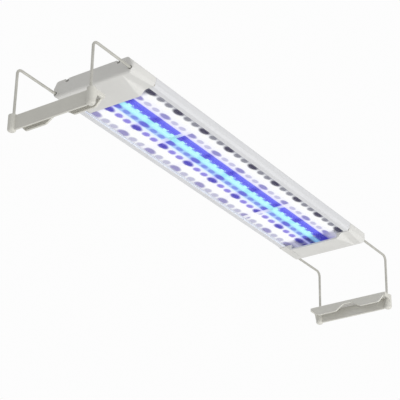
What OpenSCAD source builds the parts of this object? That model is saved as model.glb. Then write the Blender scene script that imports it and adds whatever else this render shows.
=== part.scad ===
// LED aquarium light: a flat aluminium housing with three rows of LEDs underneath,
// plastic end caps, and two sliding wire legs, each with a channel foot that
// straddles the glass rim of a tank.
//
// Millimetres. +Z up, X along the light, front = -Y, rear = +Y.
// The origin is midway between the feet, on the level of their lowest points.

/* [Body] */
// Length over the two end caps
body_len = 496; // [440:1:560]
// Length of each end cap
cap_len = 40; // [36:1:48]
// Widest part of the housing, across the side rails
body_w = 107; // [106:1:108]
// Height of the end caps at their outer faces
body_h = 19.5; // [18.5:0.1:20]
// Height of the end caps' lower edge over the level of the feet
ride_h = 69; // [60:1:90]
// Height of the cooling fins on top
fin_h = 8.1; // [5:0.1:8.1]
// Thickness of a cooling fin
fin_t = 1.4; // [1:0.1:2]
// Spacing of the cooling fins
fin_pitch = 5.5; // [4:0.5:8]
// How far the end caps' pads stand down below the caps' lower edges
pad_drop = 4.5; // [2:0.5:6]

/* [Light rows] */
// Distance between neighbouring rows of LEDs
row_pitch = 29.3; // [28:0.1:29.3]
// LED groups along each row
group_count = 8; // [4:1:8]
// Length of one group of the LED strip
group_pitch = 50; // [45:1:50]
// Spacing of the three LEDs inside a group
led_pitch = 14.65; // [12:0.05:16]
// Edge of the square LED package
led_size = 5; // [3:0.5:5]
// Distance from the middle of the rows to each joint between two reflector trays
tray_joint = 107; // [60:1:150]

/* [Legs] */
// Diameter of the leg wire
wire_d = 3; // [2.4:0.1:3]
// Distance between the front and rear wires, centre to centre
wire_span = 98.8; // [98:0.1:99]
// How far the wires stand out beyond the end caps when fully pulled out
reach = 60; // [58:1:70]
// How far each leg slides in from there
travel = 50; // [20:1:50]
// Bend radius of the wire's centre line
bend_r = 6.5; // [6:0.5:8]

/* [Feet] */
// Height of a foot over all
foot_h = 19; // [18:0.5:24]
// Length of a foot's plates across the light
foot_w = 106; // [100:1:108]
// Thickness of a foot's plates and shelf
foot_t = 2.5; // [2:0.1:3]
// Distance between the outside faces of a foot's two plates
foot_gap = 17; // [16:0.5:20]

/* [Cable gland] */
// Bore of the gland's seal
cable_d = 5.5; // [4:0.1:6]

/* [Hidden] */
$fn = 48;
half_len = body_len / 2;
seam_x = half_len - cap_len;          // inner face of an end cap
gasket_t = 1;
housing_x = seam_x - gasket_t;        // end of the aluminium housing
half_w = body_w / 2;
tiny = 0.01;

// Heights over the end caps' lower edge
rail_z = 2;                           // underside of the side rails
deck_z = body_h - fin_h;              // upper face of the deck, at the foot of the fins
bed_z = 9.1;                          // underside of the bed that the trays lie against
cover_z = 3.1;                        // underside of the clear cover
cover_t = 1.6;
groove_low = 2.9;                     // the groove that the cover slides into
groove_top = 5.1;
groove_w = 1.2;
ridge_z = 6.2;                        // underside of the reflector ridges
tray_floor = 8.6;                     // underside of the trays where the strips lie
tray_end = seam_x + 21;               // the trays and the cover run on into the end caps
board_t = 1.2;
board_w = 10;
led_face = 6.0;                       // underside of the LEDs
led_rim = 0.2;                        // the window stands proud of the package by this
led_window = 0.42;                    // radius of the window as a part of the package's edge
led_shift = 5.5;                      // the rows sit slightly towards the right cap
joint_x = [led_shift - tray_joint, led_shift + tray_joint];
tray_gap = 0.2;
resistor = [2, 1.2, 0.6];
resistor_y = 3.6;
row_y = [-row_pitch, 0, row_pitch];

// Widths across the light
window_w = 88;                        // opening for the LED panel
deck_w = 88.8;                        // deck between the two upper edges
cover_half = 45;                      // half the width of the clear cover
seal_w = 1;
seal_t = 0.4;

// One side of the cross-section in (y, z): underside of the rail, its slope and chamfer,
// the widest part and the upper edge. The end caps reach a little lower.
rail_profile = [[49.8, rail_z], [52.3, 4.6], [half_w, 10.3], [half_w, 11.7], [46, body_h]];
cap_foot = [[47.5, 0], [50.4, 1.8]];
chamber_profile = [[45.9, 9], [51.8, 9], [51.8, 11.2], [46.6, body_h - 2.4], [45.9, body_h - 2.4]];

// Leg wires and the channels they slide in
wire_r = wire_d / 2;
wire_y = wire_span / 2;
wire_z = 5.2;
leg_x = half_len + reach;             // the wires' upright stretch
channel_r = 2.2;
guide_r = 2.18;
guide_bore_r = wire_r + 0.06;
guide_mouth = 1.6;                    // the guide starts this far inside the cap's face
guide_gap = 0.2;
stop_r = 2.12;
stop_len = 8;
stop_gap = 0.5;

// Cap screws
screw_y = 34;
screw_z = 17.4;
screw_r = 1.45;
head_r = 2.5;
head_t = 2;
notch_r = 2.7;
notch_depth = 4.2;                    // the heads' seats lie this deep in the caps
screw_len = 57;
hex_r = 1.35;                         // hexagon socket in the head
hex_depth = 1.3;
port_r = 2.9;
port_bore_r = 1.5;
boss_r = 3.6;
boss_bore_r = 1.6;

// End caps
cap_wall = 2;
cap_end_wall = 3.5;
cap_corner_r = 4;
cap_edge_r = 3;
cap_floor = 3.5;                      // lowest level of the cavity
cap_roof = 2.3;
cap_cavity_w = 88;
pad_w = 68;                           // flat part of the pad
pad_ramp = 6;                         // width of the slope on each side of it
pad_end = 3;                          // the pad runs out this far before the end face
pad_root = 2.2;                       // the slopes beside the pad end at this level
clear = 0.2;                          // clearance round parts that slide in

// Feet, measured from the level of their lowest points
outer_x = leg_x + 1;                  // outside face of the outer plate
socket_r = 4.7;
socket_y = 50.5;
socket_depth = 14;
socket_tip = 3;
shelf_z = foot_h - 1.2;               // upper face of the shelf
plate_low = 1;                        // lower edge of the outer plate
plate_bevel = 7.5;
inner_low = 6;                        // lower edge of the inner plate
arch_top = 13.5;
arch_half = [6.5, 18];
corner_half = [45, 53];
gusset_t = 2;
gusset_low = 4;                       // lower end of a gusset at the outer plate
pad_low = 13;                         // underside of the rubber pad
pad_in = 7.5;                         // width of the rubber pad

// Cable gland on the right end cap
gland_x = half_len - 14;
gland_y = 22;
gland_r = 4.5;                        // thread
gland_bore_r = 3.2;
gland_low = 8;                        // the thread reaches this far down into the cap
gland_flange_r = 7;
gland_flange_t = 2;
gland_top = 9;                        // height over the cap
gland_nut_r = 6.8;
gland_nut_h = 5;
gland_dome = 4.6;                     // radius of the nut's upper end
nut_bore_r = cable_d / 2 + 0.3;
gland_roof = 2;                       // thickness of the nut over the seal
gland_lip = 1.2;                      // the seal's neck reaches this far up into the nut
locknut_r = 7;
locknut_t = 3.5;

// Wiring in the right end cap
lead_r = 0.6;
lead_x = seam_x + 3;                  // the leads go up through the tray here
board_low = ride_h + bed_z + 0.6;     // underside of the wiring board
terminal_y = -16;
terminal_len = 24;
terminal_count = 4;
terminal_pitch = 6;

// Tints of the LED packages
white = [0.97, 0.97, 0.90];
blue = [0.20, 0.45, 0.95];

// ---- helpers ----

// A (y, z) outline, drawn over the end caps' lower edge, extruded from x0 to x1
module along_x(x0, x1)
    translate([x0, 0, ride_h]) rotate([90, 0, 90]) linear_extrude(x1 - x0) children();

// An (x, z) outline, drawn over the same level, extruded to both sides of the middle
module along_y(w)
    translate([0, 0, ride_h]) rotate([90, 0, 0]) linear_extrude(w, center = true) children();

// The same outline on both sides of the middle line
module both_sides() {
    children();
    mirror([1, 0]) children();
}

module block(x, y, z)
    translate([x[0], y[0], z[0]]) cube([x[1] - x[0], y[1] - y[0], z[1] - z[0]]);

// Right-hand parts are drawn at +X and mirrored to make the left-hand ones
module at_side(side)
    mirror([side < 0 ? 1 : 0, 0, 0]) children();

// ---- housing ----

// Points on one side, mirrored to close the outline
module mirrored_outline(side)
    polygon(concat(side, [for (i = [len(side) - 1:-1:0]) [-side[i][0], side[i][1]]]));

// The housing's outline, drawn in by an inset for the gaskets
module body_outline(inset)
    mirrored_outline([for (p = rail_profile)
        [p[0] - inset, min(max(p[1], rail_z + inset), body_h - inset)]]);

// Fins on the deck, and two round ports for the cap screws on stems of their own
module fins_2d() {
    count = floor((deck_w / 2 - fin_t) / fin_pitch);
    for (i = [-count:count])
        if (abs(abs(i * fin_pitch) - screw_y) > port_r + fin_t)
            translate([i * fin_pitch - fin_t / 2, deck_z - tiny]) square([fin_t, fin_h]);
    for (s = [-1, 1]) {
        translate([s * screw_y - fin_t, deck_z - tiny]) square([2 * fin_t, screw_z - deck_z]);
        intersection() {
            translate([s * screw_y, screw_z]) circle(port_r);
            translate([s * screw_y - port_r, 0]) square([2 * port_r, body_h]);
        }
    }
}

module housing_section() {
    difference() {
        union() {
            difference() {
                body_outline(0);
                translate([-deck_w / 2, deck_z]) square([deck_w, body_h]);
            }
            fins_2d();
        }
        translate([-window_w / 2, 0]) square([window_w, bed_z]);
        translate([-window_w / 2 - groove_w, groove_low])
            square([window_w + 2 * groove_w, groove_top - groove_low]);
        both_sides() polygon(chamber_profile);
        both_sides() translate([wire_y, wire_z]) circle(channel_r);
        both_sides() translate([screw_y, screw_z]) circle(port_bore_r);
    }
}

module housing()
    color([0.80, 0.80, 0.82]) along_x(-housing_x, housing_x) housing_section();

// ---- end caps ----

module cap_outline()
    mirrored_outline(concat(cap_foot, [for (i = [1:len(rail_profile) - 1]) rail_profile[i]]));

// Side view of a cap: the lower edge comes down from the rails to the end face
module cap_side_view()
    union() {
        polygon([[seam_x, cap_foot[1][1]], [half_len - cap_edge_r, 0], [half_len - cap_edge_r, body_h],
            [seam_x, body_h]]);
        translate([half_len - cap_edge_r, cap_edge_r]) circle(cap_edge_r);
        translate([half_len - cap_edge_r, cap_edge_r])
            square([cap_edge_r, body_h - cap_edge_r]);
    }

module cap_plan()
    union() {
        translate([seam_x, -half_w]) square([cap_len - cap_corner_r, body_w]);
        translate([seam_x, -half_w + cap_corner_r])
            square([cap_len, body_w - 2 * cap_corner_r]);
        for (s = [-1, 1])
            translate([half_len - cap_corner_r, s * (half_w - cap_corner_r)]) circle(cap_corner_r);
    }

module cap_shape()
    intersection() {
        along_x(seam_x, half_len) cap_outline();
        along_y(body_w + 2) cap_side_view();
        translate([0, 0, ride_h - 1]) linear_extrude(body_h + 2) cap_plan();
    }

// The pad that hoods the end of the LED window, inset by a wall thickness for its hollow
module cap_pad(inset)
    intersection() {
        along_y(body_w)
            polygon([[seam_x + inset, -pad_drop + inset], [half_len - pad_end, inset],
                [half_len - pad_end, cap_edge_r + inset], [seam_x + inset, cap_edge_r + inset]]);
        along_x(seam_x + inset, half_len)
            mirrored_outline([[pad_w / 2 - inset / 2, -pad_drop],
                [pad_w / 2 + pad_ramp - inset, pad_root], [pad_w / 2 + pad_ramp - inset, bed_z]]);
    }

// Open towards the housing: the trays and the cover run in as far as the partition
module cap_cavity()
    difference() {
        union() {
            block([seam_x - tiny, half_len - cap_end_wall], [-cap_cavity_w / 2, cap_cavity_w / 2],
                [ride_h + cap_floor, ride_h + body_h - cap_roof]);
            block([seam_x - tiny, tray_end + clear], [-cover_half - clear, cover_half + clear],
                [ride_h + groove_low, ride_h + groove_top]);
            translate([-tiny, 0, 0]) cap_pad(cap_wall);
            block([seam_x - tiny, seam_x + cap_wall + tiny], [-pad_w / 2 + 1, pad_w / 2 - 1],
                [ride_h - pad_drop + cap_wall, ride_h + cap_floor + tiny]);
        }
        block([tray_end + clear, tray_end + clear + cap_wall], [-half_w, half_w],
            [ride_h - pad_drop, ride_h + bed_z]);
    }

module end_cap(side)
    color([0.74, 0.74, 0.71]) at_side(side)
        difference() {
            union() {
                difference() {
                    union() {
                        cap_shape();
                        cap_pad(0);
                    }
                    cap_cavity();
                }
                intersection() {
                    for (s = [-1, 1])
                        translate([seam_x, s * screw_y, ride_h + screw_z]) rotate([0, 90, 0])
                            cylinder(r = boss_r, h = cap_len - 1);
                    along_x(seam_x, half_len) cap_outline();
                }
            }
            for (s = [-1, 1]) {
                translate([seam_x - 1, s * screw_y, ride_h + screw_z]) rotate([0, 90, 0])
                    cylinder(r = boss_bore_r, h = cap_len + 2);
                translate([half_len - notch_depth, s * screw_y, ride_h + screw_z])
                    rotate([0, 90, 0]) cylinder(r = notch_r, h = notch_depth + 1);
                block([half_len - notch_depth, half_len + 1],
                    [s * screw_y - notch_r * 0.8, s * screw_y + notch_r * 0.8],
                    [ride_h + screw_z, ride_h + body_h + 1]);
                translate([seam_x - 1, s * wire_y, ride_h + wire_z]) rotate([0, 90, 0])
                    cylinder(r = channel_r, h = cap_len + 2);
            }
            if (side > 0)
                translate([gland_x, gland_y, ride_h + body_h - cap_roof - 1])
                    cylinder(r = gland_r + clear / 2, h = cap_roof + 2);
        }

module end_gasket(side)
    color([0.74, 0.74, 0.73]) at_side(side)
        along_x(housing_x, seam_x)
            difference() {
                body_outline(0.5);
                translate([-deck_w / 2, deck_z]) square([deck_w, body_h]);
                translate([-window_w / 2 - groove_w, 0])
                    square([window_w + 2 * groove_w, bed_z + clear]);
                both_sides() translate([wire_y, wire_z]) circle(channel_r + clear / 2);
            }

module cap_screws(side)
    color([0.55, 0.55, 0.56]) at_side(side)
        for (s = [-1, 1])
            translate([half_len - notch_depth + head_t, s * screw_y, ride_h + screw_z])
                rotate([0, -90, 0]) difference() {
                    union() {
                        cylinder(r = head_r, h = head_t);
                        cylinder(r = screw_r, h = screw_len);
                    }
                    translate([0, 0, -1]) cylinder(r = hex_r, h = hex_depth + 1, $fn = 6);
                }

// ---- LED panel ----

module clear_cover()
    color([0.86, 0.93, 0.97, 0.5])
        along_x(-tray_end, tray_end)
            translate([-cover_half, cover_z]) square([2 * cover_half, cover_t]);

module cover_seal(s)
    color([0.85, 0.85, 0.85])
        along_x(-housing_x, housing_x)
            translate([s * (window_w + groove_w) / 2 - seal_w / 2, cover_z + cover_t])
                square([seal_w, seal_t]);

// One tray: three shallow troughs with a narrow ridge between neighbours
module tray_section() {
    floor_half = board_w / 2 + 1;
    edge = window_w / 2 - clear;
    ridge_half = 0.4;
    difference() {
        translate([-edge, ridge_z]) square([2 * edge, bed_z - ridge_z]);
        for (y = row_y) {
            left = y == row_y[0] ? -edge + ridge_half : y - row_pitch / 2 + ridge_half;
            right = y == row_y[2] ? edge - ridge_half : y + row_pitch / 2 - ridge_half;
            polygon([[left, ridge_z - tiny], [y - floor_half, tray_floor],
                [y + floor_half, tray_floor], [right, ridge_z - tiny]]);
        }
    }
}

// Holes at the right-hand end let the strips' leads through
module reflector(x0, x1)
    color([0.90, 0.92, 0.97])
        difference() {
            along_x(x0, x1) tray_section();
            for (y = row_y)
                translate([lead_x, y, ride_h + ridge_z])
                    cylinder(r = lead_r + clear, h = bed_z - ridge_z + 1);
        }

module led_strip(y, tint)
    color(tint)
        along_x(led_shift - group_count * group_pitch / 2, led_shift + group_count * group_pitch / 2)
            translate([y - board_w / 2, tray_floor - board_t]) square([board_w, board_t]);

function led_x(group, i) =
    led_shift + (group + 0.5 - group_count / 2) * group_pitch + (i - 1) * led_pitch;

// Square packages, each with a round window standing a little proud
module leds(y, tint)
    color(tint)
        for (g = [0:group_count - 1], i = [0:2])
            translate([led_x(g, i), y, ride_h + led_face]) {
                translate([-led_size / 2, -led_size / 2, led_rim])
                    cube([led_size, led_size, tray_floor - board_t - led_face - led_rim]);
                cylinder(r = led_size * led_window, h = 2 * led_rim);
            }

// One resistor in each group, between its first two LEDs
module strip_resistors()
    color([0.88, 0.88, 0.90])
        for (y = row_y, g = [0:group_count - 1])
            translate([led_x(g, 0) + (led_pitch - resistor[0]) / 2, y - resistor_y,
                ride_h + tray_floor - board_t - resistor[2]])
                cube(resistor);

// ---- legs ----

module leg_wire(side, s)
    color([0.70, 0.70, 0.68]) at_side(side) {
        inner_x = seam_x + guide_gap - stop_gap - stop_len;
        translate([inner_x, s * wire_y, ride_h + wire_z]) rotate([0, 90, 0])
            cylinder(r = wire_r, h = leg_x - bend_r - inner_x);
        translate([leg_x - bend_r, s * wire_y, ride_h + wire_z - bend_r]) rotate([90, 0, 0])
            rotate_extrude(angle = 90) translate([bend_r, 0]) circle(wire_r);
        translate([leg_x, s * wire_y, foot_h - socket_depth])
            cylinder(r = wire_r, h = ride_h + wire_z - bend_r - foot_h + socket_depth);
    }

module wire_stop(side, s)
    color([0.62, 0.56, 0.42]) at_side(side)
        translate([seam_x + guide_gap - stop_gap - stop_len, s * wire_y, ride_h + wire_z])
            rotate([0, 90, 0]) difference() {
                cylinder(r = stop_r, h = stop_len);
                translate([0, 0, -1]) cylinder(r = wire_r, h = stop_len + 2);
            }

module wire_guide(side, s)
    color([0.25, 0.25, 0.25]) at_side(side)
        translate([seam_x + guide_gap, s * wire_y, ride_h + wire_z])
            rotate([0, 90, 0]) difference() {
                guide_len = cap_len - guide_mouth - guide_gap;
                cylinder(r = guide_r, h = guide_len);
                translate([0, 0, -1]) cylinder(r = guide_bore_r, h = guide_len + 2);
            }

// ---- feet ----

// An outline in (y, z) for a foot's plates, extruded from x0 to x1
module foot_plate(x0, x1)
    translate([x0, 0, 0]) rotate([90, 0, 90]) linear_extrude(x1 - x0) children();

// A round boss with a rounded lower tip
module foot_socket() {
    translate([0, 0, socket_tip]) cylinder(r = socket_r, h = foot_h - socket_tip);
    rotate_extrude() intersection() {
        translate([socket_r - socket_tip, socket_tip]) circle(socket_tip);
        square([socket_r, socket_tip]);
    }
    cylinder(r = socket_r - socket_tip, h = foot_h - 1);
}

module foot(side)
    color([0.70, 0.70, 0.67]) at_side(side) {
        inner_x = outer_x - foot_gap;
        half = foot_w / 2;
        difference() {
            union() {
                // outer plate
                foot_plate(outer_x - foot_t, outer_x)
                    polygon([[-half + plate_bevel, plate_low], [half - plate_bevel, plate_low],
                        [half, plate_low + plate_bevel], [half, shelf_z], [-half, shelf_z],
                        [-half, plate_low + plate_bevel]]);
                // inner plate, with an arch in the middle of its lower edge
                foot_plate(inner_x, inner_x + foot_t)
                    polygon([[-corner_half[1], shelf_z], [-corner_half[1], pad_low + 1.5],
                        [-corner_half[0], inner_low], [-arch_half[1], inner_low],
                        [-arch_half[0], arch_top], [arch_half[0], arch_top],
                        [arch_half[1], inner_low], [corner_half[0], inner_low],
                        [corner_half[1], pad_low + 1.5], [corner_half[1], shelf_z]]);
                // shelf
                block([inner_x, outer_x], [-half, half], [shelf_z - foot_t, shelf_z]);
                // gussets at both ends
                for (s = [-1, 1])
                    translate([0, s * (half + gusset_t / 2 - tiny), 0]) rotate([90, 0, 0])
                        linear_extrude(gusset_t, center = true)
                            polygon([[inner_x, shelf_z], [inner_x, pad_low],
                                [inner_x + foot_t + pad_in + 1, pad_low],
                                [outer_x - foot_t, gusset_low], [outer_x, gusset_low],
                                [outer_x, shelf_z]]);
                for (s = [-1, 1])
                    translate([leg_x, s * socket_y, 0]) foot_socket();
            }
            for (s = [-1, 1])
                translate([leg_x, s * wire_y, foot_h - socket_depth]) cylinder(r = wire_r, h = foot_h);
        }
    }

module foot_pad(side)
    color([0.62, 0.62, 0.60]) at_side(side)
        block([outer_x - foot_gap + foot_t, outer_x - foot_gap + foot_t + pad_in],
            [-corner_half[1] + 1, corner_half[1] - 1], [pad_low, shelf_z - foot_t]);

// ---- cable gland and wiring ----

module at_gland()
    translate([gland_x, gland_y, ride_h + body_h]) children();

module gland_body()
    color([0.20, 0.20, 0.21]) at_gland()
        difference() {
            union() {
                translate([0, 0, -gland_low]) cylinder(r = gland_r, h = gland_low + gland_top - gland_roof);
                cylinder(r = gland_flange_r, h = gland_flange_t, $fn = 6);
            }
            translate([0, 0, -gland_low - 1]) cylinder(r = gland_bore_r, h = gland_low + gland_top + 2);
        }

module gland_seal()
    color([0.10, 0.10, 0.10]) at_gland()
        difference() {
            translate([0, 0, 1]) {
                cylinder(r = gland_bore_r, h = gland_top - gland_roof - 1);
                cylinder(r = nut_bore_r - 0.05, h = gland_top - gland_roof + gland_lip - 1);
            }
            cylinder(d = cable_d, h = gland_top);
        }

module gland_nut()
    color([0.20, 0.20, 0.21]) at_gland()
        difference() {
            union() {
                translate([0, 0, gland_flange_t]) cylinder(r = gland_nut_r, h = gland_nut_h, $fn = 6);
                translate([0, 0, gland_flange_t + gland_nut_h])
                    cylinder(r1 = gland_nut_r * cos(30), r2 = gland_dome,
                        h = gland_top + 0.8 - gland_flange_t - gland_nut_h);
            }
            cylinder(r = gland_r, h = gland_top - gland_roof);
            cylinder(r = nut_bore_r, h = gland_top + 2);
        }

module gland_locknut()
    color([0.20, 0.20, 0.21]) at_gland()
        difference() {
            translate([0, 0, -cap_roof - clear - locknut_t])
                cylinder(r = locknut_r, h = locknut_t, $fn = 6);
            translate([0, 0, -gland_low]) cylinder(r = gland_r, h = gland_low);
        }

module wiring_board()
    color([0.16, 0.42, 0.26])
        block([seam_x + 1.5, seam_x + 14], [-36, 36], [board_low, board_low + board_t]);

module terminal_block()
    color([0.24, 0.42, 0.30])
        difference() {
            block([seam_x + 4, seam_x + 13],
                [terminal_y - terminal_len / 2, terminal_y + terminal_len / 2],
                [board_low + board_t, board_low + 6]);
            for (i = [0:terminal_count - 1])
                translate([seam_x + 3, terminal_y + (i - (terminal_count - 1) / 2) * terminal_pitch,
                    board_low + 3.6])
                    rotate([0, 90, 0]) cylinder(r = 1.1, h = 7);
        }

// A lead from the end of an LED strip, up through the tray to the wiring board
module lead(y)
    color([0.85, 0.85, 0.84]) {
        strip_end = led_shift + group_count * group_pitch / 2;
        lead_z = ride_h + tray_floor - board_t / 2 - lead_r;
        translate([strip_end, y, lead_z]) rotate([0, 90, 0]) cylinder(r = lead_r, h = lead_x - strip_end);
        translate([lead_x, y, lead_z]) sphere(r = lead_r);
        translate([lead_x, y, lead_z]) cylinder(r = lead_r, h = board_low - lead_z);
    }

housing();
end_cap(-1);  // end_cap_left
end_cap(1);  // end_cap_right
end_gasket(-1);  // end_gasket_left
end_gasket(1);  // end_gasket_right
cap_screws(-1);  // cap_screws_left
cap_screws(1);  // cap_screws_right
clear_cover();
cover_seal(-1);  // cover_seal_front
cover_seal(1);  // cover_seal_rear
reflector(-tray_end, joint_x[0] - tray_gap);  // reflector_left
reflector(joint_x[0] + tray_gap, joint_x[1] - tray_gap);  // reflector_middle
reflector(joint_x[1] + tray_gap, tray_end);  // reflector_right
led_strip(row_y[0], white);  // led_strip_white_front
led_strip(row_y[1], white);  // led_strip_blue
led_strip(row_y[2], white);  // led_strip_white_rear
leds(row_y[0], white);  // leds_white_front
leds(row_y[1], blue);  // leds_blue
leds(row_y[2], white);  // leds_white_rear
strip_resistors();
leg_wire(-1, -1);  // leg_wire_left_front
leg_wire(-1, 1);  // leg_wire_left_rear
leg_wire(1, -1);  // leg_wire_right_front
leg_wire(1, 1);  // leg_wire_right_rear
wire_stop(-1, -1);  // wire_stop_left_front
wire_stop(-1, 1);  // wire_stop_left_rear
wire_stop(1, -1);  // wire_stop_right_front
wire_stop(1, 1);  // wire_stop_right_rear
wire_guide(-1, -1);  // wire_guide_left_front
wire_guide(-1, 1);  // wire_guide_left_rear
wire_guide(1, -1);  // wire_guide_right_front
wire_guide(1, 1);  // wire_guide_right_rear
foot(-1);  // foot_left
foot(1);  // foot_right
foot_pad(-1);  // foot_pad_left
foot_pad(1);  // foot_pad_right
gland_body();
gland_nut();
gland_seal();
gland_locknut();
wiring_board();
terminal_block();
lead(row_y[0]);  // lead_white_front
lead(row_y[1]);  // lead_blue
lead(row_y[2]);  // lead_white_rear
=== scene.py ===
import math

import bmesh
import bpy
from mathutils import Matrix, Vector


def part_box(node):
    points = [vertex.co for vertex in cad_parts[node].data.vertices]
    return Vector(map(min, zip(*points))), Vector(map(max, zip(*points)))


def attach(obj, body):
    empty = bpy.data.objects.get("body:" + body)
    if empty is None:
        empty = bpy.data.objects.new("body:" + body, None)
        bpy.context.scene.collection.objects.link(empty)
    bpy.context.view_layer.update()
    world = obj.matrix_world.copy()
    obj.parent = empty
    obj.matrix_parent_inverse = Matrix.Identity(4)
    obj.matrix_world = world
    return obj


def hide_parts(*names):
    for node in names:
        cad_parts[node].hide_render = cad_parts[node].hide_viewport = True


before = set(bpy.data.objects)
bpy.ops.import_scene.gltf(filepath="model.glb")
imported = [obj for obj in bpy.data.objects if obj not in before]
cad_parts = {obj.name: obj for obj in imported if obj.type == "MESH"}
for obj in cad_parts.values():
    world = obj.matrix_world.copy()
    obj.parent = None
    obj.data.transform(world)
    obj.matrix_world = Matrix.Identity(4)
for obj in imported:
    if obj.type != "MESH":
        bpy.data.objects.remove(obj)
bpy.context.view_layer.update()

# ---- sizes, in millimetres ----

MM = 0.001
X, Y, Z = Vector((1, 0, 0)), Vector((0, 1, 0)), Vector((0, 0, 1))


def node_box(node):
    """Lowest and highest corner of a CAD node, in millimetres."""
    low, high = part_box(node)
    return low / MM, high / MM


HOUSING_LOW, HOUSING_HIGH = node_box("housing")
CAP_LOW, CAP_HIGH = node_box("end_cap_right")
COVER_LOW, COVER_HIGH = node_box("clear_cover")
LED_LOW, LED_HIGH = node_box("leds_blue")
STRIP_LOW, STRIP_HIGH = node_box("led_strip_blue")
TRAY_LOW, TRAY_HIGH = node_box("reflector_middle")
GUIDE_LOW, GUIDE_HIGH = node_box("wire_guide_right_rear")
WIRE_LOW, WIRE_HIGH = node_box("leg_wire_right_rear")
FOOT_LOW, FOOT_HIGH = node_box("foot_right")
PAD_LOW, PAD_HIGH = node_box("foot_pad_right")
SCREW_LOW, SCREW_HIGH = node_box("cap_screws_right")
NUT_LOW, NUT_HIGH = node_box("gland_nut")

TOP = HOUSING_HIGH.z
BODY_H = 19.5
BASE = TOP - BODY_H                      # lower edge of the end caps
HALF_W = HOUSING_HIGH.y
SEAM_X = CAP_LOW.x
END_X = CAP_HIGH.x

# Cross-section of one side in (y, height over BASE)
RAIL_PROFILE = [(49.8, 2.0), (52.3, 4.6), (HALF_W, 10.3), (HALF_W, 11.7), (46.0, BODY_H)]
WINDOW_HALF = 44.0
GROOVE_HALF = 45.2
GROOVE = (2.9, 5.1)
BED_H = 9.1
DECK_HALF = 44.4
DECK_H = 11.4
FIN_T = 1.4
FIN_PITCH = 5.5
FIN_COUNT = 7                            # on each side of the middle one
SCREW_Y = 34.0
SCREW_H = (SCREW_LOW.z + SCREW_HIGH.z) / 2 - BASE
PORT_R = 2.9
PORT_BORE_R = 1.5
WIRE_R = 1.5
WIRE_Y = (GUIDE_LOW.y + GUIDE_HIGH.y) / 2
WIRE_H = (GUIDE_LOW.z + GUIDE_HIGH.z) / 2 - BASE
CHANNEL_R = 2.2

# LED rows
ROW_PITCH = 29.3
GROUP_COUNT = 8
GROUP_PITCH = 50.0
LED_PITCH = 14.65
LED_SIZE = 5.0
ROW_MIDDLE = (LED_LOW.x + LED_HIGH.x) / 2
ROWS = {"white_front": -ROW_PITCH, "blue": 0.0, "white_rear": ROW_PITCH}
LED_FACE = LED_LOW.z
LED_X = [ROW_MIDDLE + (group + 0.5 - GROUP_COUNT / 2) * GROUP_PITCH + place * LED_PITCH
         for group in range(GROUP_COUNT) for place in (-1, 0, 1)]


# ---- outlines and solids ----

def rounded(points, radius=0.4, steps=4):
    """A closed outline with an arc at each corner; a corner may bring its own radius."""
    outline = []
    count = len(points)
    for i, point in enumerate(points):
        corner = Vector(point[:2])
        back = Vector(points[i - 1][:2]) - corner
        ahead = Vector(points[(i + 1) % count][:2]) - corner
        wanted = point[2] if len(point) > 2 else radius
        angle = back.angle(ahead)
        if wanted <= 0 or angle > math.radians(179):
            outline.append(corner)
            continue
        reach = min(wanted / math.tan(angle / 2), 0.45 * back.length, 0.45 * ahead.length)
        arc_r = reach * math.tan(angle / 2)
        middle = (back.normalized() + ahead.normalized()).normalized()
        centre = corner + middle * (arc_r / math.sin(angle / 2))
        start = corner + back.normalized() * reach - centre
        end = corner + ahead.normalized() * reach - centre
        turn = start.angle_signed(end)
        for k in range(steps + 1):
            outline.append(centre + Matrix.Rotation(-turn * k / steps, 2) @ start)
    return outline


def circle(y, z, radius, sides=32):
    return [Vector((y + radius * math.cos(math.tau * i / sides),
                    z + radius * math.sin(math.tau * i / sides))) for i in range(sides)]


def box_outline(low_u, high_u, low_v, high_v, radius=0.3):
    return rounded([(low_u, low_v), (high_u, low_v), (high_u, high_v), (low_u, high_v)], radius)


AXES = {
    "x": Matrix(((0, 0, 1, 0), (1, 0, 0, 0), (0, 1, 0, 0), (0, 0, 0, 1))),
    "y": Matrix(((1, 0, 0, 0), (0, 0, -1, 0), (0, 1, 0, 0), (0, 0, 0, 1))),
    "z": Matrix.Identity(4),
}


def prism(loops, low, high, axis="x", edge=0.2, steps=2):
    """Outlines extruded along an axis, with the ends' edges rounded; inner outlines are holes.
    The outlines are in (y, z) along x, in (x, z) along y and in (x, y) along z."""
    curve = bpy.data.curves.new("outline", "CURVE")
    curve.dimensions = "2D"
    curve.fill_mode = "BOTH"
    curve.extrude = (high - low) / 2 - edge
    curve.offset = -edge
    curve.bevel_depth = edge
    curve.bevel_resolution = steps
    for loop in loops:
        spline = curve.splines.new("POLY")
        spline.points.add(len(loop) - 1)
        for point, corner in zip(spline.points, loop):
            point.co = (corner[0], corner[1], 0, 1)
        spline.use_cyclic_u = True
    holder = bpy.data.objects.new("outline", curve)
    mesh = bpy.data.meshes.new_from_object(holder)
    bpy.data.objects.remove(holder)
    middle = (low + high) / 2
    shift = {"x": X, "y": Y, "z": Z}[axis] * middle
    mesh.transform(Matrix.Translation(shift) @ AXES[axis])
    return welded(mesh)


def welded(mesh):
    """The same mesh with its doubled points merged and its flat triangles joined."""
    work = bmesh.new()
    work.from_mesh(mesh)
    bmesh.ops.remove_doubles(work, verts=work.verts, dist=1e-4)
    bmesh.ops.dissolve_limit(work, angle_limit=math.radians(0.3), verts=work.verts, edges=work.edges)
    bmesh.ops.recalc_face_normals(work, faces=work.faces)
    if work.calc_volume(signed=True) < 0:
        bmesh.ops.reverse_faces(work, faces=work.faces)
    work.to_mesh(mesh)
    work.free()
    return mesh


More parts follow.
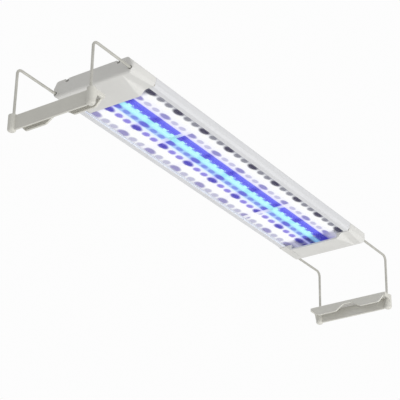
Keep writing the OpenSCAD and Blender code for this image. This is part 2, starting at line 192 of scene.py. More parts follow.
def lathe(profile, sides=40):
    """A closed (radius, z) profile turned about Z; corners on the axis become single points."""
    work = bmesh.new()
    poles = {k: work.verts.new((0, 0, z)) for k, (r, z) in enumerate(profile) if r == 0}
    rings = []
    for i in range(sides):
        turn = Matrix.Rotation(math.tau * i / sides, 3, "Z")
        rings.append([poles[k] if k in poles else work.verts.new(turn @ Vector((r, 0, z)))
                      for k, (r, z) in enumerate(profile)])
    for i in range(sides):
        here, there = rings[i], rings[(i + 1) % sides]
        for k in range(len(profile)):
            after = (k + 1) % len(profile)
            corners = list(dict.fromkeys((here[k], there[k], there[after], here[after])))
            if len(corners) > 2:
                work.faces.new(corners)
    mesh = bpy.data.meshes.new("lathe")
    work.to_mesh(mesh)
    work.free()
    return welded(mesh)


def tube(path, radius, sides=6):
    """A round wire along a path, with its ends closed."""
    curve = bpy.data.curves.new("path", "CURVE")
    curve.dimensions = "3D"
    curve.bevel_depth = radius
    curve.bevel_resolution = sides
    curve.use_fill_caps = True
    spline = curve.splines.new("POLY")
    spline.points.add(len(path) - 1)
    for point, place in zip(spline.points, path):
        point.co = (*place, 1)
    holder = bpy.data.objects.new("path", curve)
    mesh = bpy.data.meshes.new_from_object(holder)
    bpy.data.objects.remove(holder)
    return welded(mesh)


def joined(meshes):
    """Several closed meshes in one."""
    work = bmesh.new()
    for mesh in meshes:
        work.from_mesh(mesh)
    result = bpy.data.meshes.new("joined")
    work.to_mesh(result)
    work.free()
    return result


def boolean(base, tools, operation):
    """The base with the tools added to it or cut out of it, as one closed mesh."""
    holders = [bpy.data.objects.new("solid", mesh) for mesh in [base] + tools]
    for holder in holders:
        bpy.context.scene.collection.objects.link(holder)
    for holder in holders[1:]:
        modifier = holders[0].modifiers.new("solid", "BOOLEAN")
        modifier.object = holder
        modifier.operation = operation
        modifier.solver = "EXACT"
    depsgraph = bpy.context.evaluated_depsgraph_get()
    result = bpy.data.meshes.new_from_object(holders[0].evaluated_get(depsgraph))
    for holder in holders:
        bpy.data.objects.remove(holder)
    return welded(result)


def union(base, *tools):
    return boolean(base, list(tools), "UNION")


def cut(base, *tools):
    return boolean(base, list(tools), "DIFFERENCE")


def moved(mesh, x=0.0, y=0.0, z=0.0):
    copy = mesh.copy()
    copy.transform(Matrix.Translation((x, y, z)))
    return copy


def mirrored(mesh, axis=X):
    """A copy reflected through the middle of the light."""
    copy = mesh.copy()
    copy.transform(Matrix.Scale(-1, 4, axis))
    copy.flip_normals()
    return copy


def piece(name, mesh, body, material, replaces=(), sharp=32):
    """Shades a mesh, scales it to metres and makes it a piece that rides on a body."""
    mesh.transform(Matrix.Scale(MM, 4))
    mesh.materials.clear()
    mesh.materials.append(material)
    mesh.shade_smooth()
    mesh.set_sharp_from_angle(angle=math.radians(sharp))
    obj = bpy.data.objects.new(name, mesh)
    mesh.name = name
    bpy.context.scene.collection.objects.link(obj)
    weighted = obj.modifiers.new("normals", "WEIGHTED_NORMAL")
    weighted.keep_sharp = True
    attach(obj, body)
    if replaces:
        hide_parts(*replaces)
    return obj


# ---- shader building ----

def linear(red, green, blue):
    """A screen colour, 0 to 255, as the scene-linear colour that shows as it."""
    def one(value):
        value /= 255
        return value / 12.92 if value <= 0.04045 else ((value + 0.055) / 1.055) ** 2.4
    return (one(red), one(green), one(blue), 1.0)


class Value:
    """A number in a material; arithmetic on it adds Math nodes."""

    def __init__(self, tree, socket):
        self.tree = tree
        self.socket = socket

    def math(self, operation, *others):
        node = self.tree.nodes.new("ShaderNodeMath")
        node.operation = operation
        for socket, item in zip(node.inputs, (self,) + others):
            if isinstance(item, Value):
                self.tree.links.new(item.socket, socket)
            else:
                socket.default_value = item
        return Value(self.tree, node.outputs[0])

    def __add__(self, other):
        return self.math("ADD", other)

    def __sub__(self, other):
        return self.math("SUBTRACT", other)

    def __mul__(self, other):
        return self.math("MULTIPLY", other)

    def __truediv__(self, other):
        return self.math("DIVIDE", other)

    def __abs__(self):
        return self.math("ABSOLUTE")

    def lowest(self, other):
        return self.math("MINIMUM", other)

    def highest(self, other):
        return self.math("MAXIMUM", other)

    def above(self, other):
        return self.math("GREATER_THAN", other)

    def wrapped(self, high, low):
        return self.math("WRAP", high, low)

    def step(self, start, end):
        """0 below start, 1 past end and smooth between; start may be the higher one."""
        node = self.tree.nodes.new("ShaderNodeMapRange")
        node.interpolation_type = "SMOOTHSTEP"
        self.tree.links.new(self.socket, node.inputs["Value"])
        low, high = (0, 1) if start < end else (1, 0)
        node.inputs["From Min"].default_value = min(start, end)
        node.inputs["From Max"].default_value = max(start, end)
        node.inputs["To Min"].default_value = low
        node.inputs["To Max"].default_value = high
        return Value(self.tree, node.outputs["Result"])


class Surface:
    """A Principled material, with short calls for the nodes that the looks use."""

    def __init__(self, name, color, roughness, metallic=0.0, **settings):
        self.material = bpy.data.materials.new(name)
        self.material.use_nodes = True
        self.tree = self.material.node_tree
        self.shader = self.tree.nodes["Principled BSDF"]
        self.shader.inputs["Base Color"].default_value = (*color, 1.0)
        self.shader.inputs["Roughness"].default_value = roughness
        self.shader.inputs["Metallic"].default_value = metallic
        for socket, value in settings.items():
            self.shader.inputs[socket.replace("_", " ")].default_value = value
        self.coordinates = self.tree.nodes.new("ShaderNodeTexCoord").outputs["Object"]

    def link(self, value, socket):
        self.tree.links.new(getattr(value, "socket", value), self.shader.inputs[socket])

    def place(self):
        """Position on the object in millimetres, as three numbers."""
        node = self.tree.nodes.new("ShaderNodeSeparateXYZ")
        self.tree.links.new(self.coordinates, node.inputs[0])
        return [Value(self.tree, output) / MM for output in node.outputs]

    def noise(self, size, detail=3.0, stretch=(1, 1, 1)):
        """Noise with features of a size in millimetres, drawn out along an axis by stretch."""
        mapping = self.tree.nodes.new("ShaderNodeMapping")
        mapping.inputs["Scale"].default_value = [1 / (size * MM * s) for s in stretch]
        self.tree.links.new(self.coordinates, mapping.inputs["Vector"])
        node = self.tree.nodes.new("ShaderNodeTexNoise")
        node.inputs["Scale"].default_value = 1.0
        node.inputs["Detail"].default_value = detail
        self.tree.links.new(mapping.outputs[0], node.inputs["Vector"])
        return Value(self.tree, node.outputs[0])

    def vary_color(self, amount, dark, light):
        """The base colour runs between two colours as the amount goes from 0.3 to 0.7."""
        self.link(self.ramp(amount, [(0.3, dark), (0.7, light)]), "Base Color")

    def ramp(self, value, stops):
        """A colour read from (position, colour) stops, with positions from 0 to 1."""
        node = self.tree.nodes.new("ShaderNodeValToRGB")
        elements = node.color_ramp.elements
        while len(elements) < len(stops):
            elements.new(1.0)
        for element, (position, color) in zip(elements, stops):
            element.position = position
            element.color = color if len(color) == 4 else (*color, 1.0)
        self.tree.links.new(value.socket, node.inputs[0])
        return node.outputs[0]

    def mix(self, amount, color_a, color_b):
        node = self.tree.nodes.new("ShaderNodeMix")
        node.data_type = "RGBA"
        self.tree.links.new(amount.socket, node.inputs["Factor"])
        for name, color in (("A", color_a), ("B", color_b)):
            socket = [s for s in node.inputs if s.name == name and s.type == "RGBA"][0]
            if isinstance(color, tuple):
                socket.default_value = color
            else:
                self.tree.links.new(color, socket)
        return [s for s in node.outputs if s.type == "RGBA"][0]

    def vary_roughness(self, amount, low, high):
        node = self.tree.nodes.new("ShaderNodeMapRange")
        self.tree.links.new(amount.socket, node.inputs["Value"])
        node.inputs["From Min"].default_value = 0.3
        node.inputs["From Max"].default_value = 0.7
        node.inputs["To Min"].default_value = low
        node.inputs["To Max"].default_value = high
        self.link(node.outputs["Result"], "Roughness")

    def bump(self, amount, depth, strength=0.5):
        """Fine relief, depth in millimetres."""
        node = self.tree.nodes.new("ShaderNodeBump")
        node.inputs["Strength"].default_value = strength
        node.inputs["Distance"].default_value = depth * MM
        self.tree.links.new(amount.socket, node.inputs["Height"])
        self.link(node.outputs[0], "Normal")


# ---- materials ----

def anodised_aluminium():
    surface = Surface("anodised_aluminium", (0.78, 0.785, 0.80), 0.45, metallic=0.4)
    lines = surface.noise(0.5, stretch=(160, 1, 1))
    surface.vary_color(lines, (0.75, 0.755, 0.77), (0.81, 0.815, 0.83))
    surface.vary_roughness(surface.noise(9.0, stretch=(6, 1, 1)), 0.38, 0.52)
    surface.bump(lines, 0.03, 0.35)
    return surface.material


def moulded_plastic(name, color, roughness=0.5, grain=0.35):
    """Moulded plastic with a fine spark-eroded grain and slight clouding."""
    surface = Surface(name, color, roughness)
    clouds = surface.noise(30.0, detail=4.0)
    surface.vary_color(clouds, [0.97 * c for c in color], [min(1.0, 1.03 * c) for c in color])
    surface.vary_roughness(surface.noise(4.0), roughness - 0.06, roughness + 0.06)
    surface.bump(surface.noise(grain, detail=2.0), 0.05, 0.3)
    return surface.material


def stainless_wire():
    surface = Surface("stainless_wire", (0.68, 0.67, 0.62), 0.34, metallic=0.6)
    streaks = surface.noise(0.4, stretch=(30, 30, 30))
    surface.vary_color(streaks, (0.56, 0.55, 0.50), (0.68, 0.67, 0.62))
    surface.vary_roughness(surface.noise(2.0), 0.26, 0.42)
    surface.bump(surface.noise(0.3, detail=2.0), 0.01, 0.3)
    return surface.material


def plated_steel():
    surface = Surface("plated_steel", (0.46, 0.45, 0.43), 0.38, metallic=0.9)
    surface.vary_color(surface.noise(1.5), (0.38, 0.38, 0.37), (0.52, 0.51, 0.48))
    surface.vary_roughness(surface.noise(0.8), 0.3, 0.5)
    return surface.material


def rubber(name, color):
    surface = Surface(name, color, 0.75)
    surface.vary_color(surface.noise(3.0), [0.92 * c for c in color], [1.08 * c for c in color])
    surface.bump(surface.noise(0.25), 0.04, 0.4)
    return surface.material


def dull_brass():
    surface = Surface("dull_brass", (0.50, 0.40, 0.20), 0.45, metallic=0.9)
    surface.vary_color(surface.noise(1.2), (0.40, 0.31, 0.15), (0.58, 0.47, 0.25))
    surface.bump(surface.noise(0.4), 0.02, 0.3)
    return surface.material


def board_laminate():
    surface = Surface("board_laminate", (0.05, 0.22, 0.11), 0.35)
    surface.vary_color(surface.noise(1.0), (0.04, 0.18, 0.09), (0.07, 0.27, 0.14))
    surface.bump(surface.noise(0.3), 0.02, 0.3)
    return surface.material


def clear_acrylic():
    surface = Surface("clear_acrylic", (0.60, 0.64, 0.70), 0.08, IOR=1.49)
    haze = surface.noise(60.0)
    surface.vary_color(haze, (0.56, 0.60, 0.66), (0.62, 0.66, 0.72))
    surface.vary_roughness(surface.noise(5.0), 0.05, 0.12)
    # Painted light: along its long edges the sheet turns nearly opaque and glows a pale lavender grey over the shade
    # in the rail's groove.
    edge = abs(surface.place()[1]).step(43.5, 43.9)
    surface.link(haze * 0.02 + 0.01 + edge * 0.9, "Alpha")
    surface.shader.inputs["Emission Color"].default_value = linear(206, 208, 216)
    surface.link(edge * 0.55, "Emission Strength")
    return surface.material


# The painted light is laid out in the plane of the LEDs' faces, and slants from there into the trays.
SLANT_X = 1.651
SLANT_Y = 1.149
PANEL_HALF = 48.0

# Screen colours of the painted light and shade across the panel, from the front edge to the rear: opposite an LED ...
OPPOSITE_LED = [
    (-44, (150, 151, 158)), (-41, (168, 169, 175)), (-38.5, (205, 206, 211)), (-35, (244, 245, 247)),
    (-31, (252, 253, 252)), (-18, (243, 243, 253)), (-15.6, (232, 232, 252)), (-13.8, (224, 222, 252)),
    (-12.9, (98, 98, 236)), (-4, (96, 100, 236)), (-2, (130, 172, 246)), (-0.9, (172, 244, 250)),
    (2.2, (190, 252, 254)), (5, (176, 244, 251)), (7, (160, 205, 247)), (13, (170, 200, 248)),
    (14.4, (225, 240, 255)), (16.4, (225, 240, 255)), (18.5, (236, 238, 254)), (25, (251, 252, 255)),
    (36, (252, 253, 252)), (42, (240, 241, 246)), (46, (222, 223, 230))]
# ... and where two groups meet
BETWEEN_GROUPS = [
    (-44, (150, 150, 160)), (-40, (195, 195, 206)), (-36, (240, 241, 246)), (-32, (250, 250, 253)),
    (-23, (248, 248, 254)), (-18, (232, 231, 250)), (-15.6, (214, 212, 250)), (-13.8, (196, 190, 250)),
    (-12.9, (66, 60, 204)), (-2.6, (70, 64, 208)), (-0.9, (160, 236, 250)), (5, (160, 232, 250)),
    (7, (130, 165, 238)), (13, (140, 160, 240)), (14.4, (195, 195, 254)), (16.4, (196, 192, 252)),
    (19, (214, 212, 250)), (27, (246, 246, 253)), (35, (246, 246, 252)), (40, (228, 228, 240)),
    (46, (205, 205, 222))]
# Past the last LEDs: the painted light and shade there, mostly shade
PAST_ROWS = [
    (-40, (50, 50, 65)), (-34, (70, 70, 88)), (-27, (176, 176, 196)), (-19, (160, 158, 200)),
    (-13, (50, 40, 150)), (-2, (60, 56, 170)), (1, (120, 170, 220)), (5, (110, 160, 215)),
    (8, (35, 25, 100)), (12, (40, 32, 120)), (15, (160, 160, 225)), (18, (60, 55, 140)),
    (24, (25, 25, 110)), (31, (165, 165, 195)), (38, (120, 118, 160)), (45, (130, 130, 150))]
# Where two trays meet: the painted light there
AT_JOINT = [
    (-30, (252, 253, 252)), (-16, (240, 240, 254)), (-10, (205, 210, 252)), (-1, (150, 222, 228)),
    (4, (150, 222, 228)), (8, (205, 218, 250)), (16, (232, 230, 254)), (30, (252, 252, 255)),
    (46, (238, 238, 246))]
# Painted shade: dim spots between the LEDs, in lines along the light: where each line runs,
# half its spots' width, how far the spots sit along from the gaps' middles, and their colours
# in the gap between two groups and in the gaps within a group
PAINTED_SHADE_LINES = [
    (-37.2, 5.0, 0.0, (62, 58, 80), (118, 118, 130)),
    (-19.9, 4.0, 0.0, (140, 135, 200), (188, 186, 222)),
    (9.8, 3.9, 1.5, (92, 96, 214), (112, 132, 230)),
    (21.3, 5.0, 3.0, (76, 66, 184), (122, 106, 216)),
    (40.6, 5.4, 4.5, (148, 142, 192), (182, 181, 207))]
WIDE_SPOT = 9.0                          # half lengths of the spots along the light
NARROW_SPOT = 5.9
# Painted glints: the bright dots in front of the blue LEDs are painted highlights.
PAINTED_GLINT_LINE = (-4.2, 2.0)                 # place of the bright dots in front of the blue LEDs
PAINTED_GLINT_R = 1.2
JOINT_HALF = 2.6
TRAY_HALF = (TRAY_HIGH.x - TRAY_LOW.x) / 2


def across(surface, y, colors):
    """The colour at y from a list of (y, screen colour)."""
    place = (y + PANEL_HALF) / (2 * PANEL_HALF)
    stops = [((at + PANEL_HALF) / (2 * PANEL_HALF), linear(*color)) for at, color in colors]
    return surface.ramp(place, stops)


def in_group(x):
    """Distance along the light from the middle of the group of three LEDs."""
    return (x - (ROW_MIDDLE + GROUP_PITCH / 2)).wrapped(GROUP_PITCH / 2, -GROUP_PITCH / 2)


def spot(along, half_length, across_it, half_width):
    """1 in the middle of a soft-edged oval, 0 outside."""
    reach = (along / half_length).math("POWER", 2.0) + (across_it / half_width).math("POWER", 2.0)
    return reach.step(1.45, 0.35)


def painted_panel_light(surface):
    """Painted light and shade: colour of the light that the panel sends out at each place."""
    x, y, z = surface.place()
    depth = z - LED_FACE
    wobble = surface.noise(7.0, detail=2.0) - 0.5
    x = x - depth * SLANT_X + wobble
    y = y - depth * SLANT_Y + wobble * 0.4
    from_middle = abs(in_group(x))
    gap = from_middle.step(LED_PITCH + 2.0, GROUP_PITCH / 2 - 1.0)
    glow = surface.mix(gap, across(surface, y, OPPOSITE_LED), across(surface, y, BETWEEN_GROUPS))
    # Painted shade: the dim spots between the LEDs' light cones.
    for line, half_width, shift, wide_color, narrow_color in PAINTED_SHADE_LINES:
        place = abs(in_group(x - shift))
        narrow = spot(place - LED_PITCH / 2, NARROW_SPOT, y - line, half_width * 0.85)
        glow = surface.mix(narrow * 0.9, glow, linear(*narrow_color))
        wide = spot(place - GROUP_PITCH / 2, WIDE_SPOT, y - line, half_width)
        glow = surface.mix(wide, glow, linear(*wide_color))
    # Painted glints in front of the blue LEDs.
    glint_y, glint_x = PAINTED_GLINT_LINE
    place = abs(in_group(x - glint_x))
    near_led = place.lowest(abs(place - LED_PITCH))
    painted_glint = spot(near_led, PAINTED_GLINT_R, y - glint_y, PAINTED_GLINT_R)
    glow = surface.mix(painted_glint * 0.8, glow, linear(190, 228, 253))
    # Painted light at the joints between trays, and painted shade past the last LEDs.
    joint = abs(abs(x - ROW_MIDDLE) - TRAY_HALF).step(JOINT_HALF + 1, JOINT_HALF) * y.step(-30, -26)
    glow = surface.mix(joint * 0.85, glow, across(surface, y, AT_JOINT))
    past_end = (abs(x - ROW_MIDDLE) - GROUP_COUNT * GROUP_PITCH / 2).step(-4, 5)
    return surface.mix(past_end * 0.85, glow, across(surface, y, PAST_ROWS))


# The trays and strip boards are no lamps: their emission is painted light and shade.
def painted_light_panel(name):
    surface = Surface(name, (0.02, 0.02, 0.025), 0.30, Emission_Strength=1.0, Specular_IOR_Level=0.12)
    surface.link(painted_panel_light(surface), "Emission Color")
    surface.vary_roughness(surface.noise(3.0), 0.24, 0.38)
    surface.bump(surface.noise(1.5), 0.03, 0.25)
    return surface.material


def lit_package(name, color):
    surface = Surface(name, (0.03, 0.03, 0.03), 0.4, Emission_Strength=1.0, Specular_IOR_Level=0.2)
    speck = surface.noise(0.8)
    dim = [0.92 * c for c in linear(*color)[:3]]
    surface.link(surface.ramp(speck, [(0.3, dim), (0.7, linear(*color))]), "Emission Color")
    surface.bump(surface.noise(0.5), 0.02, 0.2)
    return surface.material


ALUMINIUM = anodised_aluminium()
CAP_PLASTIC = moulded_plastic("cap_plastic", (0.66, 0.655, 0.63))
FOOT_PLASTIC = moulded_plastic("foot_plastic", (0.62, 0.61, 0.56))
BLACK_NYLON = moulded_plastic("black_nylon", (0.035, 0.035, 0.038), 0.42)
GUIDE_NYLON = moulded_plastic("guide_nylon", (0.06, 0.06, 0.06), 0.5)
TERMINAL_PLASTIC = moulded_plastic("terminal_plastic", (0.10, 0.28, 0.18), 0.45)
LEAD_PLASTIC = moulded_plastic("lead_plastic", (0.80, 0.80, 0.79), 0.4)
STEEL_WIRE = stainless_wire()
PLATED_STEEL = plated_steel()
GASKET_RUBBER = rubber("gasket_rubber", (0.80, 0.80, 0.80))
SEAL_RUBBER = rubber("seal_rubber", (0.09, 0.09, 0.095))
FOOT_RUBBER = rubber("foot_rubber", (0.48, 0.47, 0.44))
BRASS = dull_brass()
LAMINATE = board_laminate()
ACRYLIC = clear_acrylic()
REFLECTOR_PAINTED_LIGHT = painted_light_panel("reflector_painted_light")
STRIP_PAINTED_LIGHT = painted_light_panel("strip_painted_light")
WHITE_LED = lit_package("white_led", (255, 255, 252))
BLUE_LED = lit_package("blue_led", (188, 252, 252))


# ---- housing ----

def fin_line():
    """The deck from its right end to its left, over the fins and the screw ports."""
    line = []
    for i in range(FIN_COUNT, -FIN_COUNT - 1, -1):
        y = i * FIN_PITCH
        if abs(abs(y) - SCREW_Y) > PORT_R + FIN_T:
            half = FIN_T / 2
            line.append((y, [(y + half, DECK_H, 0.5), (y + half, BODY_H, 0.5),
                             (y - half, BODY_H, 0.5), (y - half, DECK_H, 0.5)]))
    for y in (SCREW_Y, -SCREW_Y):
        line.append((y, port_line(y)))
    line.sort(key=lambda item: -item[0])
    return [corner for _, corners in line for corner in corners]


def port_line(y):
    """A screw port on its stem, cut off level with the top."""
    low = math.asin(-math.sqrt(1 - (FIN_T / PORT_R) ** 2))
    high = math.asin((BODY_H - SCREW_H) / PORT_R)
    arc = [low + (high - low) * i / 8 for i in range(9)]
    right = [(y + PORT_R * math.cos(a), SCREW_H + PORT_R * math.sin(a), 0) for a in arc]
    left = [(2 * y - corner[0], corner[1], 0) for corner in reversed(right)]
    return [(y + FIN_T, DECK_H, 0.5)] + right + left + [(y - FIN_T, DECK_H, 0.5)]


def housing_loops():
    radii = (0.5, 0.7, 1.0, 1.0, 0.9)
    rail = [(*point, radius) for point, radius in zip(RAIL_PROFILE, radii)]
    right = [(WINDOW_HALF, RAIL_PROFILE[0][1], 0.4)] + rail + [(DECK_HALF, BODY_H, 0.3), (DECK_HALF, DECK_H, 0.5)]
    lip = [(WINDOW_HALF, GROOVE[0], 0.15), (GROOVE_HALF, GROOVE[0], 0.1), (GROOVE_HALF, GROOVE[1], 0.1),
           (WINDOW_HALF, GROOVE[1], 0.15), (WINDOW_HALF, BED_H, 0.2)]
    left = [(-y, h, r) for y, h, r in reversed(right)]
    left_lip = [(-y, h, r) for y, h, r in lip]
    outline = right + fin_line() + left + left_lip + list(reversed(lip))
    loops = [rounded(outline)]
    chamber = [(45.9, 9.0), (51.8, 9.0), (51.8, 11.2), (46.6, BODY_H - 2.4), (45.9, BODY_H - 2.4)]
    for side in (-1, 1):
        loops.append(rounded([(side * y, h) for y, h in chamber], 0.3))
        loops.append(circle(side * WIRE_Y, WIRE_H, CHANNEL_R))
        loops.append(circle(side * SCREW_Y, SCREW_H, PORT_BORE_R))
    return [[Vector((p[0], p[1] + BASE)) for p in loop] for loop in loops]


def make_housing():
    mesh = prism(housing_loops(), HOUSING_LOW.x, HOUSING_HIGH.x, edge=0.1, steps=1)
    piece("housing_extrusion", mesh, "light_body", ALUMINIUM, ["housing"])


# ---- end caps ----

PAD_DROP = 4.5
PAD_HALF = 34.0
PAD_SLOPE = 6.7 / 6.0
PAD_END_X = END_X - 3.0
EDGE_R = 3.0
CORNER_R = 4.0
TOP_R = 1.2
NOTCH_R = 2.7
HEAD_T = 2.0


def end_curve(x, radius):
    """How far a rounded edge has drawn in at x, near the outer face."""
    into = max(0.0, x - (END_X - radius))
    return radius - math.sqrt(max(0.0, radius ** 2 - into ** 2))


def cap_section(x):
    """Outline of a cap at x, from the middle of its underside round the right side and back."""
    run = min(1.0, max(0.0, (x - SEAM_X) / (PAD_END_X - SEAM_X)))
    low = 1.7 * (1 - run)
    pad = min(-PAD_DROP * (1 - run), low - 0.02)
    pad_half = PAD_HALF + (pad + PAD_DROP) / PAD_SLOPE
    foot_half = PAD_HALF + (low + PAD_DROP) / PAD_SLOPE
    out = (x - SEAM_X) / (END_X - SEAM_X)
    half = [(0.0, pad, 0), (pad_half * 0.5, pad, 0), (pad_half, pad, 7.0), (foot_half, low, 6.0),
            (47.5 + low * 1.6, low, 1.5), (50.4, 1.8, 1.5), (52.3, 4.6, 1.2), (HALF_W, 10.3, 1.6),
            (HALF_W, 11.7, 1.0 + 3.0 * out), (46.0, BODY_H, 0.9 + 6.0 * out), (20.0, BODY_H, 0),
            (0.0, BODY_H, 0)]
    full = half + [(-y, h, r) for y, h, r in reversed(half[1:-1])]
    side_limit = HALF_W - end_curve(x, CORNER_R)
    floor = end_curve(x, EDGE_R)
    roof = BODY_H - end_curve(x, TOP_R)
    outline = []
    for y, h in rounded(full, steps=5):
        y = max(-side_limit, min(side_limit, y))
        if x > PAD_END_X:
            h = max(floor, h)
        outline.append(Vector((x, y, BASE + min(roof, h))))
    return outline


def cap_body():
    """The cap's outer form, lofted from the seam to the rounded outer edges."""
    ramp_steps = [SEAM_X + (PAD_END_X - SEAM_X) * i / 8 for i in range(9)]
    edge_steps = [END_X - CORNER_R + CORNER_R * math.sin(math.pi / 2 * i / 10) for i in range(1, 11)]
    stations = ramp_steps + [x for x in edge_steps if x > PAD_END_X + 0.05]
    work = bmesh.new()
    rings = [[work.verts.new(point) for point in cap_section(x)] for x in stations]
    for here, there in zip(rings, rings[1:]):
        for i in range(len(here)):
            after = (i + 1) % len(here)
            work.faces.new((here[i], here[after], there[after], there[i]))
    work.faces.new(list(reversed(rings[0])))
    work.faces.new(rings[-1])
    mesh = bpy.data.meshes.new("cap")
    work.to_mesh(mesh)
    work.free()
    return welded(mesh)


def cap_cavity():
    hollow_end = END_X - 3.5
    tray_end = COVER_HIGH.x + 0.2
    wall = 2.0
    main = prism([box_outline(-WINDOW_HALF, WINDOW_HALF, BASE + 3.5, BASE + BODY_H - 2.3, 1.0)],
                 SEAM_X - 2, hollow_end, edge=0.0)
    slot = prism([box_outline(-GROOVE_HALF, GROOVE_HALF, BASE + GROOVE[0], BASE + GROOVE[1], 0.1)],
                 SEAM_X - 2, tray_end, edge=0.0)
    slope = PAD_DROP / (PAD_END_X - SEAM_X)
    wedge = [(SEAM_X - 2, BASE - PAD_DROP + wall - 2 * slope), (tray_end, BASE - PAD_DROP + wall + 21 * slope),
             (tray_end, BASE + 4), (SEAM_X - 2, BASE + 4)]
    hood = prism([rounded(wedge, 0.2)], -PAD_HALF + 1, PAD_HALF - 1, axis="y", edge=0.0)
    return [main, slot, hood]


def screw_notch(y):
    """A seat for a screw's head, open at the cap's top edge."""
    seat_r = NOTCH_R
    arc = [(y + seat_r * math.cos(a), BASE + SCREW_H + seat_r * math.sin(a))
           for a in [math.pi + math.pi * i / 12 for i in range(13)]]
    outline = arc + [(y + seat_r * 0.95, TOP + 3), (y - seat_r * 0.95, TOP + 3)]
    return prism([[Vector(p) for p in outline]], SCREW_HIGH.x - HEAD_T, END_X + 2, edge=0.0)


def bore(y, height, radius):
    return prism([circle(y, BASE + height, radius)], SEAM_X - 2, END_X + 2, edge=0.0)


def make_end_cap(side):
    cutters = cap_cavity()
    for s in (-1, 1):
        cutters += [screw_notch(s * SCREW_Y), bore(s * SCREW_Y, SCREW_H, 1.6), bore(s * WIRE_Y, WIRE_H, CHANNEL_R)]
    if side > 0:
        middle = (NUT_LOW + NUT_HIGH) / 2
        cutters.append(prism([circle(middle.x, middle.y, 4.6)], TOP - 4, TOP + 2, axis="z", edge=0.0))
    mesh = cut(cap_body(), *cutters)
    word = "right" if side > 0 else "left"
    mesh = mesh if side > 0 else mirrored(mesh)
    piece(f"end_cap_{word}_moulding", mesh, "light_body", CAP_PLASTIC, [f"end_cap_{word}"])


def make_cap_screws(side):
    hex_socket = [Vector((1.35 * math.cos(math.tau * i / 6), 1.35 * math.sin(math.tau * i / 6)))
                  for i in range(6)]
    head_end = SCREW_HIGH.x
    parts = []
    for s in (-1, 1):
        centre = Vector((s * SCREW_Y, BASE + SCREW_H))
        ring = [circle(*centre, 2.5), [centre + p for p in hex_socket]]
        parts.append(prism(ring, head_end - 1.3, head_end, edge=0.3, steps=3))
        parts.append(prism([circle(*centre, 2.5)], head_end - 2.0, head_end - 1.3, edge=0.05))
        parts.append(prism([circle(*centre, 1.45)], SCREW_LOW.x, head_end - 2.0, edge=0.3))
    mesh = joined(parts)
    word = "right" if side > 0 else "left"
    mesh = mesh if side > 0 else mirrored(mesh)
    piece(f"cap_screws_{word}_steel", mesh, "light_body", PLATED_STEEL, [f"cap_screws_{word}"])


# ---- LED panel ----

def tray_loop():
    """Three shallow troughs with narrow ridges between them."""
    edge = TRAY_HIGH.y
    ridge = TRAY_LOW.z
    floor = STRIP_HIGH.z
    ridge_half = 0.4
    floor_half = 6.0
    line = [(-edge, BASE + BED_H, 0.2), (-edge, ridge, 0.15)]
    for y in ROWS.values():
        left = -edge + ridge_half if y < 0 else y - ROW_PITCH / 2 + ridge_half
        right = edge - ridge_half if y > 0 else y + ROW_PITCH / 2 - ridge_half
        if y < 0:
            left = -edge + ridge_half
        line += [(left, ridge, 0.25), (y - floor_half, floor, 4.0), (y + floor_half, floor, 4.0), (right, ridge, 0.25)]
    line += [(edge, ridge, 0.15), (edge, BASE + BED_H, 0.2)]
    return rounded(line, steps=6)


def make_trays():
    for word in ("left", "middle", "right"):
        node = f"reflector_{word}"
        low, high = node_box(node)
        mesh = prism([tray_loop()], low.x, high.x, edge=0.12)
        piece(f"{node}_tray", mesh, "light_body", REFLECTOR_PAINTED_LIGHT, [node])


def make_strips():
    for word, y in ROWS.items():
        node = "led_strip_" + word
        board = prism([box_outline(STRIP_LOW.x, STRIP_HIGH.x, y - 5, y + 5, 0.6)],
                      STRIP_LOW.z, STRIP_HIGH.z, axis="z", edge=0.1)
        piece(f"{node}_board", board, "light_body", STRIP_PAINTED_LIGHT, [node])
        pads = []
        for line in range(1, GROUP_COUNT):
            x = STRIP_LOW.x + line * GROUP_PITCH
            for dx in (-1.3, 1.3):
                for dy in (-3.2, 3.2):
                    pads.append(prism([box_outline(x + dx - 1, x + dx + 1, y + dy - 0.9, y + dy + 0.9, 0.5)],
                                      STRIP_LOW.z - 0.08, STRIP_LOW.z, axis="z", edge=0.03, steps=1))
        piece(f"{node}_pads", joined(pads), "light_body", STRIP_PAINTED_LIGHT)


def make_leds():
    half = LED_SIZE / 2
    low, high = LED_FACE + 0.2, STRIP_LOW.z
    body = prism([box_outline(-half, half, -half, half, 0.3)], low, high, axis="z", edge=0.12)
    lens = lathe([(0, LED_FACE), (1.0, LED_FACE + 0.02), (1.7, LED_FACE + 0.08), (2.1, LED_FACE + 0.2),
                  (2.1, LED_FACE + 0.4), (0, LED_FACE + 0.4)], sides=20)
    tabs = []
    for end in (-1, 1):
        for y in (-1.6, 0, 1.6):
            outline = box_outline(end * half - 0.35, end * half + 0.35, y - 0.45, y + 0.45, 0.1)
            tabs.append(prism([outline], high - 0.25, high, axis="z", edge=0.05, steps=1))
    tab_set = joined(tabs)
    for word, y in ROWS.items():
        node = "leds_" + word
        glow = BLUE_LED if word == "blue" else WHITE_LED
        bodies = joined([moved(body, x, y) for x in LED_X])
        piece(f"{node}_packages", bodies, "light_body", glow, [node])
        lenses = joined([moved(lens, x, y) for x in LED_X])
        piece(f"{node}_lenses", lenses, "light_body", glow)
        # The terminal tabs take the LED's emission as well: painted light on tabs that are no lamp.
        terminals = joined([moved(tab_set, x, y) for x in LED_X])
        piece(f"{node}_terminals", terminals, "light_body", glow)


def make_cover():
    loop = box_outline(COVER_LOW.y, COVER_HIGH.y, COVER_LOW.z, COVER_HIGH.z, 0.2)
    mesh = prism([loop], COVER_LOW.x, COVER_HIGH.x, edge=0.15)
    piece("clear_cover_sheet", mesh, "light_body", ACRYLIC, ["clear_cover"])


# ---- legs ----

BEND_R = 6.5


